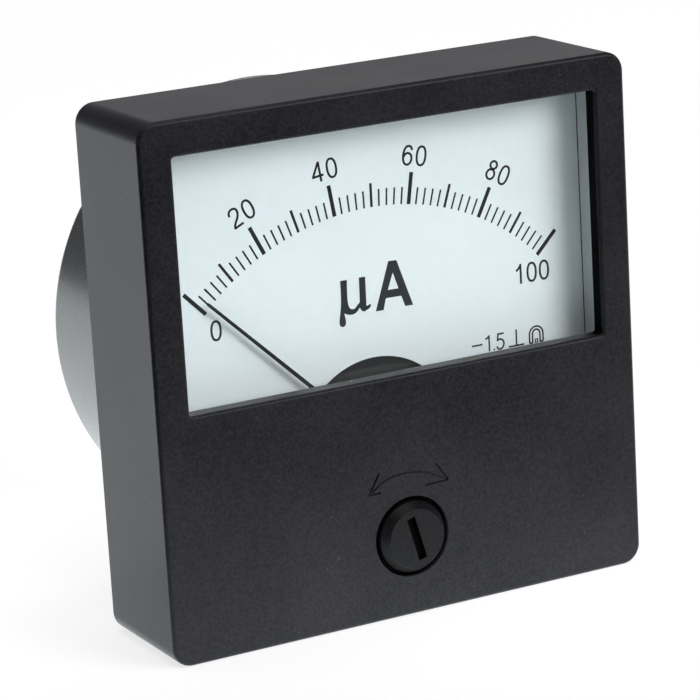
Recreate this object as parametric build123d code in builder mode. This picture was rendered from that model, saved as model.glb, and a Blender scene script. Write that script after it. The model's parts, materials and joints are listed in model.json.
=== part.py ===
from build123d import *
from math import cos, radians, sin
import os

# An analog panel meter of the moving-coil kind: a square front cover with a window, a
# round case behind it, a dial, and a core-magnet movement with a zero adjuster.
# X is to the right as the dial is read, Y runs back into the panel and Z is up.
# The origin is the middle of the cover's rear rim, where it seats on the panel.
# All sizes are in millimetres.

# Front cover
front_width = 80.0
front_height = 80.0
cover_depth = 21.0
corner_radius = 3.0
front_edge_radius = 0.6
side_wall = 2.0
face_wall = 2.6
window_side = 5.2
window_over = 5.35
window_over_pivot = 12.7
window_corner = 0.5
window_edge_radius = 0.5
cover_screw_side = 7.0
cover_screw_over = 16.0
cover_pillar_radius = 2.8
pillar_gap = 0.3

# Window pane, a clear tray behind the lip
pane_thickness = 1.5
pane_overlap = 1.6
skirt_thickness = 1.1
skirt_side_gap = 0.05
skirt_gap = 0.2

# Dial
dial_setback = 7.6
dial_thickness = 0.6
dial_edge_gap = 2.3
dial_under_pivot = 4.4
dial_corner = 1.0
cutout_x = -1.1
cutout_over_pivot = 0.7
cutout_radius = 13.4
cutout_slot_width = 27.0
dial_screw_side = 2.7
dial_screw_over_pivot = 3.6

# Case
body_step = 4.5
body_depth = 25.5
body_wall = 2.2
body_floor = 2.5
body_edge_radius = 1.5
base_thickness = 3.0
base_recess = 0.5
base_clearance = 0.3
stud_inset = 8.0
stud_boss_radius = 3.6
dial_pillar_radius = 2.2

# Screws and studs
m3_radius = 1.5
m3_head_radius = 2.6
m3_head_height = 1.6
m2_radius = 1.0
m2_head_radius = 1.8
m2_head_height = 1.2
m25_radius = 1.25
m25_head_radius = 2.2
m25_head_height = 1.6
screw_clearance = 0.15
thread_clearance = 0.02
head_clearance = 0.3
slot_share = 0.45
cover_screw_length = 8.5
cover_seat_depth = 1.8
dial_screw_length = 5.0
stud_reach = 12.0
stud_shank_radius = 1.7
stud_seat_depth = 4.3
movement_screw_length = 8.0
bridge_screw_grip = 3.1

# Terminals
terminal_x = 16.0
terminal_z = 6.0
terminal_radius = 2.0
terminal_end = 42.0
terminal_boss_radius = 6.0
terminal_boss_height = 1.0
terminal_nut_flats = 7.0
terminal_nut_height = 3.2
terminal_washer_radius = 4.5
terminal_washer_thickness = 0.8
terminal_head_height = 2.8
tag_thickness = 0.5
tag_length = 9.0

# Leads from the terminal tags to the bridges
lead_radius = 0.45
lead_bend = 2.0
lead_tag_inset = 1.2
lead_leg_offset = 0.4

# Movement: magnet system
pivot_inset = 19.9
core_radius = 6.0
core_flat = 5.6
ring_inner_radius = 8.9
ring_outer_radius = 13.0
ring_length = 11.0
ring_setback = 2.2
spacer_width = 3.2
spacer_length = 6.0
spacer_groove = 0.7
frame_clearance = 0.05
frame_outer_radius = 15.5
frame_dial_gap = 0.3
frame_opening_gap = 0.4
frame_overhang = 1.0
channel_clearance = 0.3
ear_radius = 2.9
ear_circle = 18.8
ear_thickness = 3.0
post_radius = 2.6

# Movement: bridges, jewels and lever
bridge_thickness = 1.0
bridge_width = 4.0
leg_inner_x = 9.4
leg_outer_x = 12.0
bridge_screw_x = 10.75
bush_radius = 2.0
bush_height = 1.0
jewel_radius = 1.2
jewel_proud = 0.2
jewel_cup_radius = 0.55
jewel_cup_end = 0.2
jewel_cup_depth = 0.6
lever_gap = 0.3
lever_thickness = 0.5
lever_ring_radius = 3.4
lever_width = 2.4
running_clearance = 0.05
fork_clearance = 0.15
fork_wall = 0.9
fork_reach = 1.8
tab_length = 1.6
tab_thickness = 0.6

# Movement: moving coil
rest_angle = 46.2
pointer_length = 38.9
pointer_thickness = 0.3
pointer_gap = 1.05
pointer_root = 0.72
pointer_tip = 0.45
hub_radius = 1.7
spindle_radius = 0.6
pivot_radius = 0.4
pivot_tip_radius = 0.08
pivot_end_gap = 0.08
shoulder_radius = 0.9
pivot_base_radius = 1.7
pivot_base_thickness = 0.4
collet_radius = 1.15
collet_length = 0.5
spring_width = 0.4
spring_thickness = 0.12
spring_inner_radius = 1.4
spring_outer_radius = 4.9
spring_half_turns = 11
axial_gap = 0.45
bridge_gap = 0.3
coil_gap = 0.7
former_wall = 0.3
former_corner = 0.5
winding_depth = 0.9
coil_width = 3.6
winding_margin = 0.25
arm_width = 0.6
cross_arm_reach = 7.8
tail_reach = 8.9
weight_radius = 0.8
weight_clearance = 0.03
weight_start = 5.95
cross_weight_length = 1.5
tail_weight_length = 2.8

# Zero adjuster
adjuster_inset = 12.2
adjuster_recess_radius = 6.2
adjuster_recess_depth = 1.4
cap_radius = 5.45
cap_face_radius = 4.5
cap_edge = 0.1
cap_proud = 1.4
cap_gap = 0.2
shaft_radius = 2.5
shaft_end_gap = 0.2
clip_radius = 4.2
clip_thickness = 0.4
clip_gap = 0.15
slot_length = 6.8
slot_width = 1.4
slot_depth = 0.9
slot_tilt = 15.0
pin_offset = 1.0
pin_radius = 0.6
pin_reach = 0.3

# Levels along the depth, from the front to the rear
front_y = -cover_depth
face_rear_y = front_y + face_wall
pane_rear_y = face_rear_y + pane_thickness
dial_y = front_y + dial_setback
dial_rear_y = dial_y + dial_thickness
base_rear_y = -base_recess
base_y = base_rear_y - base_thickness
floor_y = body_depth - body_floor
boss_y = body_depth + terminal_boss_height
ring_y = dial_rear_y + ring_setback
ring_rear_y = ring_y + ring_length
middle_y = (ring_y + ring_rear_y) / 2
coil_y = ring_y - coil_gap - former_wall - winding_depth
coil_rear_y = ring_rear_y + coil_gap + former_wall + winding_depth
pointer_rear_y = dial_y - pointer_gap
pointer_y = pointer_rear_y - pointer_thickness
spring_y = pointer_y - axial_gap - spring_width
bridge_rear_y = spring_y - bridge_gap
bridge_y = bridge_rear_y - bridge_thickness
bush_y = bridge_y - bush_height
jewel_y = bush_y - jewel_proud
lever_rear_y = bridge_y - lever_gap
lever_y = lever_rear_y - lever_thickness
rear_spring_y = coil_rear_y + pivot_base_thickness + axial_gap
rear_bridge_y = rear_spring_y + spring_width + bridge_gap
rear_bridge_end_y = rear_bridge_y + bridge_thickness
frame_y = dial_rear_y + frame_dial_gap
frame_rear_y = ring_rear_y + frame_overhang
shaft_end_y = lever_y - shaft_end_gap

# Places in the front view: the round case fits inside the front's outline, the movement
# sits low in the case, and the window, dial and lever follow the movement's pivot
half_width = front_width / 2
half_height = front_height / 2
cavity_width = front_width - 2 * side_wall
cavity_height = front_height - 2 * side_wall
cavity_x = cavity_width / 2
base_width = cavity_width - 2 * base_clearance
base_height = cavity_height - 2 * base_clearance
body_radius = min(half_width, half_height) - body_step
pivot_z = pivot_inset - body_radius
adjuster_z = adjuster_inset - half_height
window_width = front_width - 2 * window_side
window_top = half_height - window_over
window_bottom = pivot_z + window_over_pivot
window_height = window_top - window_bottom
window_middle = (window_top + window_bottom) / 2
dial_width = cavity_width - 2 * dial_edge_gap
dial_top = cavity_height / 2 - dial_edge_gap
dial_bottom = pivot_z - dial_under_pivot
cutout_z = pivot_z + cutout_over_pivot
skirt_inner_x = dial_width / 2 + skirt_side_gap
stud_x = half_width - stud_inset
stud_z = half_height - stud_inset
cover_screw_x = half_width - cover_screw_side
cover_screw_z = half_height - cover_screw_over
dial_screw_x = dial_width / 2 - dial_screw_side
dial_screw_z = pivot_z + dial_screw_over_pivot
pivot = (0, pivot_z)
adjuster = (0, adjuster_z)
studs = [(x * stud_x, z * stud_z) for x in (-1, 1) for z in (-1, 1)]
cover_screws_at = [(x * cover_screw_x, z * cover_screw_z) for x in (-1, 1) for z in (-1, 1)]
dial_screws_at = [(x * dial_screw_x, dial_screw_z) for x in (-1, 1)]
terminals = [(x * terminal_x, terminal_z) for x in (-1, 1)]
bridge_screws_at = [(x * bridge_screw_x, pivot_z) for x in (-1, 1)]
ear_angles = (90, 195, 345)
ears = [(ear_circle * cos(radians(a)), pivot_z + ear_circle * sin(radians(a))) for a in ear_angles]
tab_radius = spring_outer_radius + spring_thickness / 2 + tab_thickness / 2
tab_angle = -45


def at(y):
    """The plane across the meter at depth y; its local axes are X and Z, and it faces forward."""
    return Plane.XZ.offset(-y)


def turned(profile, x, z):
    """A solid turned about the line along Y through x and z, from points (y, radius)."""
    with BuildPart() as piece:
        with BuildSketch(Plane(origin=(x, 0, z), x_dir=(0, 1, 0), z_dir=(1, 0, 0))):
            with BuildLine():
                Polyline(*profile, close=True)
            make_face()
        revolve(axis=Axis((x, 0, z), (0, 1, 0)))
    return piece.part


def slotted_screws(places, seat_y, into, radius, head_radius, head_height, length):
    """Screws seated at seat_y; into is 1 for a shank that runs back and -1 for one that runs forward."""
    with BuildPart() as screws:
        with BuildSketch(at(seat_y)):
            with Locations(*places):
                Circle(head_radius)
        extrude(amount=into * head_height)
        with BuildSketch(at(seat_y)):
            with Locations(*places):
                Circle(radius)
        extrude(amount=-into * length)
        with BuildSketch(at(seat_y - into * head_height)):
            with Locations(*places):
                Rectangle(2 * head_radius, slot_share * radius)
        extrude(amount=-into * slot_share * head_height, mode=Mode.SUBTRACT)
    return screws.part


def save(part, name):
    """Labels a piece and writes it to its own file."""
    part.label = name
    export_step(part, f"parts/{name}.step")


os.makedirs("parts", exist_ok=True)

# Front cover: a moulded shell with a window, a plain mask below it, a sunk round seat for
# the adjuster and four pillars for the cover screws
pillar_front = dial_rear_y + pillar_gap
with BuildPart() as front_cover:
    with BuildSketch(at(0)):
        RectangleRounded(front_width, front_height, corner_radius)
    extrude(amount=cover_depth)
    fillet(front_cover.faces().sort_by(Axis.Y)[0].edges(), front_edge_radius)
    with BuildSketch(at(0)):
        RectangleRounded(cavity_width, cavity_height, corner_radius - side_wall)
    extrude(amount=cover_depth - face_wall, mode=Mode.SUBTRACT)
    with BuildSketch(at(face_rear_y)):
        with Locations((0, window_middle)):
            RectangleRounded(window_width, window_height, window_corner)
    extrude(amount=face_wall, mode=Mode.SUBTRACT)
    front_face = front_cover.faces().filter_by(Axis.Y).sort_by(Axis.Y)[0]
    fillet(front_face.inner_wires()[0].edges(), window_edge_radius)
    with BuildSketch(at(front_y)):
        with Locations(adjuster):
            Circle(adjuster_recess_radius)
    extrude(amount=-adjuster_recess_depth, mode=Mode.SUBTRACT)
    with BuildSketch(at(front_y)):
        with Locations(adjuster):
            Circle(shaft_radius + running_clearance)
    extrude(amount=-face_wall, mode=Mode.SUBTRACT)
    for x, z in cover_screws_at:
        side = 1 if x > 0 else -1
        start = pillar_front if z > 0 else face_rear_y
        with BuildSketch(at(base_y)):
            with Locations((x, z)):
                Circle(cover_pillar_radius)
            with Locations((x + side * (cavity_x - cover_screw_x) / 2, z)):
                Rectangle(cavity_x - cover_screw_x, cover_pillar_radius)
        extrude(amount=base_y - start)
    with BuildSketch(at(base_y)):
        with Locations(*cover_screws_at):
            Circle(m3_radius + thread_clearance)
    extrude(amount=cover_screw_length, mode=Mode.SUBTRACT)
save(front_cover.part, "front_cover")

# Window pane: a clear flat tray behind the face, with a skirt on its top and two sides
pane_x = skirt_inner_x + skirt_thickness
pane_top = dial_top + skirt_gap + skirt_thickness
pane_bottom = window_bottom - pane_overlap
with BuildPart() as window_pane:
    with BuildSketch(at(dial_y - skirt_gap)):
        with Locations((0, pane_bottom)):
            Rectangle(2 * pane_x, pane_top - pane_bottom, align=(Align.CENTER, Align.MIN))
    extrude(amount=dial_y - skirt_gap - face_rear_y)
    with BuildSketch(at(dial_y - skirt_gap)):
        with Locations((0, pane_bottom)):
            Rectangle(
                2 * skirt_inner_x,
                pane_top - skirt_thickness - pane_bottom,
                align=(Align.CENTER, Align.MIN),
            )
    extrude(amount=dial_y - skirt_gap - pane_rear_y, mode=Mode.SUBTRACT)
save(window_pane.part, "window_pane")

# Case: a square base plate that sits inside the cover and a round cup behind it
with BuildPart() as rear_case:
    with BuildSketch(at(base_rear_y)):
        RectangleRounded(base_width, base_height, corner_radius - side_wall)
    extrude(amount=base_thickness)
    with BuildSketch(at(body_depth)):
        Circle(body_radius)
    extrude(amount=body_depth - base_y)
    fillet(rear_case.faces().sort_by(Axis.Y)[-1].edges(), body_edge_radius)
    with BuildSketch(at(boss_y)):
        with Locations(*terminals):
            Circle(terminal_boss_radius)
    extrude(amount=boss_y - floor_y)
    with BuildSketch(at(floor_y)):
        Circle(body_radius - body_wall)
    extrude(amount=floor_y - base_y, mode=Mode.SUBTRACT)
    with BuildSketch(at(floor_y)):
        with Locations(*ears):
            Circle(post_radius)
    extrude(amount=floor_y - frame_rear_y)
    with BuildSketch(at(base_rear_y)):
        with Locations(*studs):
            Circle(stud_boss_radius)
        with Locations(*dial_screws_at):
            Circle(dial_pillar_radius)
    extrude(amount=base_rear_y - dial_rear_y)
    with BuildSketch(at(frame_rear_y)):
        with Locations(*ears):
            Circle(m25_radius + thread_clearance)
    extrude(amount=-(movement_screw_length - ear_thickness + screw_clearance), mode=Mode.SUBTRACT)
    with BuildSketch(at(dial_rear_y)):
        with Locations(*dial_screws_at):
            Circle(m2_radius + thread_clearance)
    extrude(amount=-dial_screw_length, mode=Mode.SUBTRACT)
    with BuildSketch(at(base_rear_y)):
        with Locations(*cover_screws_at):
            Circle(m3_radius + screw_clearance)
        with Locations(*studs):
            Circle(stud_shank_radius + thread_clearance)
    extrude(amount=base_rear_y - dial_rear_y, mode=Mode.SUBTRACT)
    with BuildSketch(at(base_rear_y)):
        with Locations(*cover_screws_at):
            Circle(m3_head_radius + head_clearance)
    extrude(amount=cover_seat_depth, mode=Mode.SUBTRACT)
    with BuildSketch(at(dial_rear_y + stud_seat_depth)):
        with Locations(*studs):
            Circle(m3_head_radius + thread_clearance)
    extrude(amount=stud_seat_depth, mode=Mode.SUBTRACT)
    with BuildSketch(at(boss_y)):
        with Locations(*terminals):
            Circle(terminal_radius + thread_clearance)
    extrude(amount=boss_y - floor_y, mode=Mode.SUBTRACT)
save(rear_case.part, "rear_case")

# Cover screws, put in from the rear of the base plate
cover_screws = slotted_screws(
    cover_screws_at,
    base_rear_y - cover_seat_depth,
    -1,
    m3_radius,
    m3_head_radius,
    m3_head_height,
    cover_screw_length,
)
save(cover_screws, "cover_screws")

# Mounting studs: headed studs set in the corner bosses by a thicker shank, with a thread
# that stands out behind the cover
stud_seat_y = dial_rear_y + stud_seat_depth
with BuildPart() as mounting_studs:
    with BuildSketch(at(stud_seat_y)):
        with Locations(*studs):
            Circle(m3_head_radius)
    extrude(amount=m3_head_height)
    with BuildSketch(at(base_rear_y)):
        with Locations(*studs):
            Circle(stud_shank_radius)
    extrude(amount=base_rear_y - stud_seat_y)
    with BuildSketch(at(stud_reach)):
        with Locations(*studs):
            Circle(m3_radius)
    extrude(amount=stud_reach - base_rear_y)
save(mounting_studs.part, "mounting_studs")

# Terminals: brass studs through the floor of the case, with tags inside and nuts outside
with BuildPart() as terminal_studs:
    with BuildSketch(at(floor_y - tag_thickness)):
        with Locations(*terminals):
            RegularPolygon(terminal_nut_flats / 2, 6, major_radius=False)
    extrude(amount=terminal_head_height)
    with BuildSketch(at(terminal_end)):
        with Locations(*terminals):
            Circle(terminal_radius)
    extrude(amount=terminal_end - floor_y + tag_thickness)
save(terminal_studs.part, "terminal_studs")

with BuildPart() as terminal_tags:
    with BuildSketch(at(floor_y)):
        with Locations(*terminals):
            Circle(terminal_washer_radius)
        with Locations(*[(x, z - tag_length / 2) for x, z in terminals]):
            Rectangle(terminal_radius, tag_length)
        with Locations(*terminals):
            Circle(terminal_radius + thread_clearance, mode=Mode.SUBTRACT)
    extrude(amount=tag_thickness)
save(terminal_tags.part, "terminal_tags")

nut_pitch = terminal_washer_thickness + terminal_nut_height
with BuildPart() as terminal_washers:
    for level in (boss_y, boss_y + nut_pitch):
        with BuildSketch(at(level + terminal_washer_thickness)):
            with Locations(*terminals):
                Circle(terminal_washer_radius)
                Circle(terminal_radius + screw_clearance, mode=Mode.SUBTRACT)
        extrude(amount=terminal_washer_thickness)
save(terminal_washers.part, "terminal_washers")

with BuildPart() as terminal_nuts:
    for level in (boss_y + nut_pitch, boss_y + 2 * nut_pitch):
        with BuildSketch(at(level)):
            with Locations(*terminals):
                RegularPolygon(terminal_nut_flats / 2, 6, major_radius=False)
                Circle(terminal_radius + thread_clearance, mode=Mode.SUBTRACT)
        extrude(amount=terminal_nut_height)
save(terminal_nuts.part, "terminal_nuts")

# Dial plate: a flat sheet cut away round the movement and open below it
with BuildPart() as dial_plate:
    with BuildSketch(at(dial_rear_y)):
        with Locations((0, (dial_top + dial_bottom) / 2)):
            RectangleRounded(dial_width, dial_top - dial_bottom, dial_corner)
        with Locations((cutout_x, cutout_z)):
            Circle(cutout_radius, mode=Mode.SUBTRACT)
        with Locations((0, cutout_z)):
            Rectangle(
                cutout_slot_width,
                cutout_z - dial_bottom,
                align=(Align.CENTER, Align.MAX),
                mode=Mode.SUBTRACT,
            )
        with Locations(*dial_screws_at):
            Circle(m2_radius + screw_clearance, mode=Mode.SUBTRACT)
    extrude(amount=dial_thickness)
save(dial_plate.part, "dial_plate")

dial_screws = slotted_screws(
    dial_screws_at, dial_y, 1, m2_radius, m2_head_radius, m2_head_height, dial_screw_length
)
save(dial_screws, "dial_screws")

# Magnet system: a round core magnet held in a soft-iron ring by two brass spacers
with BuildPart() as core_magnet:
    with BuildSketch(at(ring_rear_y)):
        with Locations(pivot):
            Circle(core_radius)
            Rectangle(2 * core_radius, 2 * core_flat, mode=Mode.INTERSECT)
    extrude(amount=ring_length)
save(core_magnet.part, "core_magnet")

spacer_end = ring_inner_radius + spacer_groove
with BuildPart() as yoke_ring:
    with BuildSketch(at(ring_rear_y)):
        with Locations(pivot):
            Circle(ring_outer_radius)
            Circle(ring_inner_radius, mode=Mode.SUBTRACT)
            Rectangle(spacer_width, 2 * spacer_end, mode=Mode.SUBTRACT)
        with Locations(*bridge_screws_at):
            Circle(m2_radius + thread_clearance, mode=Mode.SUBTRACT)
    extrude(amount=ring_length)
save(yoke_ring.part, "yoke_ring")

with BuildPart() as core_spacers:
    with BuildSketch(at(middle_y + spacer_length / 2)):
        for side in (-1, 1):
            with Locations((0, pivot_z + side * (core_flat + spacer_end) / 2)):
                Rectangle(spacer_width, spacer_end - core_flat)
    extrude(amount=spacer_length)
save(core_spacers.part, "core_spacers")

# Movement frame: a black moulding round the yoke with a front wall that fills the dial's
# cut-out, a channel across that wall for the bridge and its lead, and three ears
with BuildPart() as movement_frame:
    with BuildSketch(at(frame_rear_y)):
        with Locations(pivot):
            Circle(frame_outer_radius)
    extrude(amount=frame_rear_y - frame_y)
    with BuildSketch(at(frame_rear_y)):
        with Locations(*ears):
            Circle(ear_radius)
        for angle in ear_angles:
            middle = (ear_circle + ring_outer_radius) / 2
            with Locations((middle * cos(radians(angle)), pivot_z + middle * sin(radians(angle)))):
                Rectangle(ear_circle - ring_outer_radius, 2 * ear_radius, rotation=angle)
    extrude(amount=ear_thickness)
    with BuildSketch(at(frame_rear_y)):
        with Locations(pivot):
            Circle(ring_outer_radius + frame_clearance)
        with Locations(*ears):
            Circle(m25_radius + screw_clearance)
    extrude(amount=frame_rear_y - ring_y, mode=Mode.SUBTRACT)
    with BuildSketch(at(ring_y)):
        with Locations(pivot):
            Circle(ring_inner_radius + frame_opening_gap)
            Rectangle(3 * frame_outer_radius, bridge_width + 2 * channel_clearance)
    extrude(amount=ring_y - frame_y, mode=Mode.SUBTRACT)
save(movement_frame.part, "movement_frame")

movement_screws = slotted_screws(
    ears,
    frame_rear_y - ear_thickness,
    1,
    m25_radius,
    m25_head_radius,
    m25_head_height,
    movement_screw_length,
)
save(movement_screws, "movement_screws")

# Bridges: each spans the magnet system on two legs and holds a jewel screw at its middle
leg_middle = (leg_inner_x + leg_outer_x) / 2
legs = [(side * leg_middle, pivot_z) for side in (-1, 1)]
with BuildPart() as front_bridge:
    with BuildSketch(at(bridge_rear_y)):
        with Locations(pivot):
            Rectangle(2 * leg_outer_x, bridge_width)
            Circle(lever_ring_radius)
    extrude(amount=bridge_thickness)
    with BuildSketch(at(bridge_y)):
        with Locations(pivot):
            Circle(bush_radius)
    extrude(amount=bush_height)
    with BuildSketch(at(ring_y)):
        with Locations(*legs):
            Rectangle(leg_outer_x - leg_inner_x, bridge_width)
    extrude(amount=ring_y - bridge_rear_y)
    with BuildSketch(at(ring_y)):
        with Locations(*bridge_screws_at):
            Circle(m2_radius + screw_clearance / 2)
        with Locations(pivot):
            Circle(jewel_radius + thread_clearance)
    extrude(amount=ring_y - bush_y, mode=Mode.SUBTRACT)
save(front_bridge.part, "front_bridge")

with BuildPart() as rear_bridge:
    with BuildSketch(at(rear_bridge_end_y)):
        with Locations(pivot):
            Rectangle(2 * leg_outer_x, bridge_width)
            Circle(lever_ring_radius)
            with PolarLocations(tab_radius / 2, 1, tab_angle):
                Rectangle(tab_radius + tab_thickness, tab_length)
    extrude(amount=bridge_thickness)
    with BuildSketch(at(rear_bridge_y)):
        with Locations(*legs):
            Rectangle(leg_outer_x - leg_inner_x, bridge_width)
    extrude(amount=rear_bridge_y - ring_rear_y)
    with BuildSketch(at(rear_bridge_y)):
        with Locations(pivot):
            with PolarLocations(tab_radius, 1, tab_angle):
                Rectangle(tab_thickness, tab_length)
    extrude(amount=rear_bridge_y - rear_spring_y)
    with BuildSketch(at(rear_bridge_end_y)):
        with Locations(*bridge_screws_at):
            Circle(m2_radius + screw_clearance / 2)
        with Locations(pivot):
            Circle(jewel_radius + thread_clearance)
    extrude(amount=rear_bridge_end_y - ring_rear_y, mode=Mode.SUBTRACT)
save(rear_bridge.part, "rear_bridge")

front_bridge_screws = slotted_screws(
    bridge_screws_at,
    bridge_y,
    1,
    m2_radius,
    m2_head_radius,
    m2_head_height,
    ring_y - bridge_y + bridge_screw_grip,
)
save(front_bridge_screws, "front_bridge_screws")

rear_bridge_screws = slotted_screws(
    bridge_screws_at,
    rear_bridge_end_y,
    -1,
    m2_radius,
    m2_head_radius,
    m2_head_height,
    rear_bridge_end_y - ring_rear_y + bridge_screw_grip,
)
save(rear_bridge_screws, "rear_bridge_screws")


def jewel_screw(cup_y, end_y):
    """A headless screw from its cup face at cup_y to its slotted end at end_y."""
    toward = 1 if end_y > cup_y else -1
    body = turned(
        [
            (cup_y + toward * jewel_cup_depth, 0),
            (cup_y + toward * jewel_cup_depth, jewel_cup_end),
            (cup_y, jewel_cup_radius),
            (cup_y, jewel_radius),
            (end_y, jewel_radius),
            (end_y, 0),
        ],
        *pivot,
    )
    with BuildPart() as screw:
        add(body)
        with BuildSketch(at(end_y)):
            with Locations(pivot):
                Rectangle(2 * jewel_radius, slot_share * jewel_radius)
        extrude(amount=toward * slot_share * jewel_radius, mode=Mode.SUBTRACT)
    return screw.part


rear_jewel_end_y = rear_bridge_end_y + bush_height
save(jewel_screw(bridge_rear_y, jewel_y), "front_jewel_screw")
save(jewel_screw(rear_bridge_y, rear_jewel_end_y), "rear_jewel_screw")


# Leads: each runs forward from its tag and turns down and in to the leg of a bridge
def lead(side, leg_y):
    """A lead from the tag on one side to the outer face of a bridge's leg at depth leg_y."""
    x = side * terminal_x
    tag_z = terminal_z - tag_length + lead_tag_inset
    leg_z = pivot_z + lead_leg_offset
    start = (x, floor_y - tag_thickness, tag_z)
    with BuildPart() as wire:
        with BuildLine() as route:
            FilletPolyline(
                start,
                (x, leg_y, tag_z),
                (x, leg_y, leg_z),
                (side * leg_outer_x, leg_y, leg_z),
                radius=lead_bend,
            )
        with BuildSketch(Plane(origin=start, z_dir=(0, -1, 0))):
            Circle(lead_radius)
        sweep(path=route.line)
    return wire.part


save(lead(1, (ring_y + dial_rear_y) / 2), "positive_lead")
save(lead(-1, (frame_rear_y + rear_bridge_y) / 2), "negative_lead")


# Moving coil
# The moving pieces are drawn in the turned plane of the pointer: its local Y runs along
# the pointer and its local X along the cross arms
lean = radians(rest_angle)
cross = (cos(lean), 0, sin(lean))
along = (-sin(lean), 0, cos(lean))


def moving_at(y):
    """The plane across the axis at depth y, turned with the pointer."""
    return Plane(origin=(0, y, pivot_z), x_dir=cross, z_dir=(0, -1, 0))


# Pointer: a hub ring, a long tapered blade, two cross arms and a tail for the weights
with BuildPart() as pointer:
    with BuildSketch(moving_at(pointer_rear_y)):
        with BuildLine():
            Polyline(
                (-pointer_root / 2, 0),
                (-pointer_tip / 2, pointer_length),
                (pointer_tip / 2, pointer_length),
                (pointer_root / 2, 0),
                close=True,
            )
        make_face()
        Circle(hub_radius)
        Rectangle(2 * cross_arm_reach, arm_width)
        Rectangle(arm_width, tail_reach, align=(Align.CENTER, Align.MAX))
        Circle(spindle_radius + thread_clearance, mode=Mode.SUBTRACT)
    extrude(amount=pointer_thickness)
save(pointer.part, "pointer")

# Balance weights: small round sleeves on the cross arms and the tail
sleeves = [
    (Vector(*cross), cross_weight_length),
    (-Vector(*cross), cross_weight_length),
    (-Vector(*along), tail_weight_length),
]
arm_middle_y = pointer_rear_y - pointer_thickness / 2
with BuildPart() as balance_weights:
    for direction, length in sleeves:
        start = Vector(0, arm_middle_y, pivot_z) + direction * weight_start
        with BuildSketch(Plane(origin=start, x_dir=(0, 1, 0), z_dir=direction)):
            Circle(weight_radius)
            Rectangle(
                pointer_thickness + 2 * weight_clearance,
                arm_width + 2 * weight_clearance,
                mode=Mode.SUBTRACT,
            )
        extrude(amount=length)
save(balance_weights.part, "balance_weights")

# Coil: an aluminium former round the core, and the winding on it
coil_plane = Plane(origin=(0, middle_y, pivot_z), x_dir=cross, z_dir=along)
former_inner = 2 * (core_radius + coil_gap)
former_inner_length = ring_length + 2 * coil_gap
former_outer = former_inner + 2 * former_wall
former_outer_length = former_inner_length + 2 * former_wall
winding_corner = former_corner + winding_depth
with BuildPart() as coil_former:
    with BuildSketch(coil_plane):
        RectangleRounded(former_outer, former_outer_length, former_corner)
        Rectangle(former_inner, former_inner_length, mode=Mode.SUBTRACT)
    extrude(amount=coil_width / 2, both=True)
save(coil_former.part, "coil_former")

with BuildPart() as coil_winding:
    with BuildSketch(coil_plane):
        RectangleRounded(
            former_outer + 2 * winding_depth, former_outer_length + 2 * winding_depth, winding_corner
        )
        RectangleRounded(former_outer, former_outer_length, former_corner, mode=Mode.SUBTRACT)
    extrude(amount=coil_width / 2 - winding_margin, both=True)
save(coil_winding.part, "coil_winding")

# Pivots: a base on the coil, a spindle for the pointer or the spring, and a pointed end
cone_start = bridge_rear_y + pivot_end_gap
cone_end = bridge_rear_y - jewel_cup_depth + pivot_end_gap
front_pivot = turned(
    [
        (coil_y, 0),
        (coil_y, pivot_base_radius),
        (coil_y - pivot_base_thickness, pivot_base_radius),
        (coil_y - pivot_base_thickness, shoulder_radius),
        (pointer_rear_y, shoulder_radius),
        (pointer_rear_y, spindle_radius),
        (spring_y, spindle_radius),
        (spring_y, pivot_radius),
        (cone_start, pivot_radius),
        (cone_end, pivot_tip_radius),
        (cone_end, 0),
    ],
    *pivot,
)
save(front_pivot, "front_pivot")

rear_cone_start = rear_bridge_y - pivot_end_gap
rear_cone_end = rear_bridge_y + jewel_cup_depth - pivot_end_gap
rear_collet_y = rear_spring_y + spring_width - collet_length
rear_pivot = turned(
    [
        (coil_rear_y, 0),
        (coil_rear_y, pivot_base_radius),
        (coil_rear_y + pivot_base_thickness, pivot_base_radius),
        (coil_rear_y + pivot_base_thickness, shoulder_radius),
        (rear_collet_y, shoulder_radius),
        (rear_collet_y, spindle_radius),
        (rear_spring_y + spring_width, spindle_radius),
        (rear_spring_y + spring_width, pivot_radius),
        (rear_cone_start, pivot_radius),
        (rear_cone_end, pivot_tip_radius),
        (rear_cone_end, 0),
    ],
    *pivot,
)
save(rear_pivot, "rear_pivot")

# Collets: two rings on the spindles that hold the inner ends of the hairsprings
with BuildPart() as spring_collets:
    for collet_front in (spring_y, rear_collet_y):
        with BuildSketch(at(collet_front + collet_length)):
            with Locations(pivot):
                Circle(collet_radius)
                Circle(spindle_radius + thread_clearance, mode=Mode.SUBTRACT)
        extrude(amount=collet_length)
save(spring_collets.part, "spring_collets")


def hairspring(front):
    """A flat spiral of half circles; its outer end lies at the tab's angle."""
    turn = radians(tab_angle)
    plane = Plane(
        origin=(0, front + spring_width, pivot_z), x_dir=(cos(turn), 0, sin(turn)), z_dir=(0, -1, 0)
    )
    step = (spring_outer_radius - spring_inner_radius) / spring_half_turns
    with BuildPart() as spring:
        with BuildSketch(plane):
            with BuildLine():
                for i in range(spring_half_turns):
                    side = 1 if (spring_half_turns - i) % 2 == 0 else -1
                    start = side * (spring_inner_radius + i * step)
                    end = -side * (spring_inner_radius + (i + 1) * step)
                    reach = side * (abs(start) + abs(end)) / 2
                    ThreePointArc((start, 0), ((start + end) / 2, reach), (end, 0))
            trace(line_width=spring_thickness)
        extrude(amount=spring_width)
    return spring.part


save(hairspring(spring_y), "front_hairspring")
save(hairspring(rear_spring_y), "rear_hairspring")

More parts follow.
